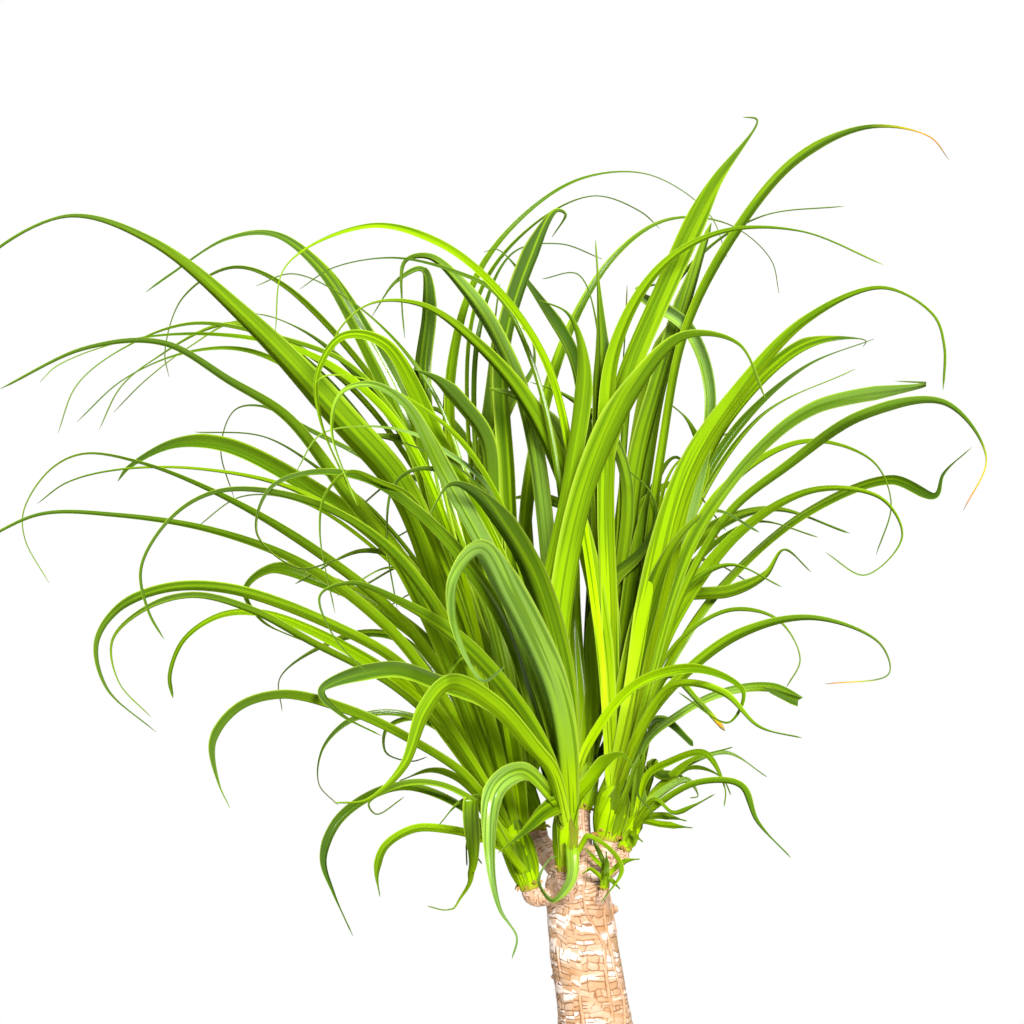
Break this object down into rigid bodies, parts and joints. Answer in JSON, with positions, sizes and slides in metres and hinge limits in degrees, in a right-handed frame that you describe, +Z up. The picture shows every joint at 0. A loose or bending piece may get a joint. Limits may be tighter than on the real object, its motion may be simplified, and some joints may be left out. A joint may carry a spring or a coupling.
{
  "type": "potted ponytail palm",
  "caption": "House plant with a slim woody stem, swollen at its foot, and several heads of long arching strap leaves, standing in soil in a plain round pot.",
  "frame": {"origin": "centre of the pot's underside", "axes": "+Z up along the pot's axis, +X to the right as the plant is seen from its front, -Y towards the viewer"},
  "size_m": [0.7059, 0.5401, 1.0663],
  "materials": {
    "pot": "satin",
    "soil": "matte",
    "bark": "matte",
    "leaf": "satin"
  },
  "bodies": {
    "root": {"pot": "pot", "soil": "soil", "trunk": "bark", "left_crown": "leaf", "front_crown": "leaf", "right_crown": "leaf", "back_left_crown": "leaf", "back_right_crown": "leaf", "side_shoot": "leaf", "basal_sprout": "leaf"}
  },
  "joints": []
}
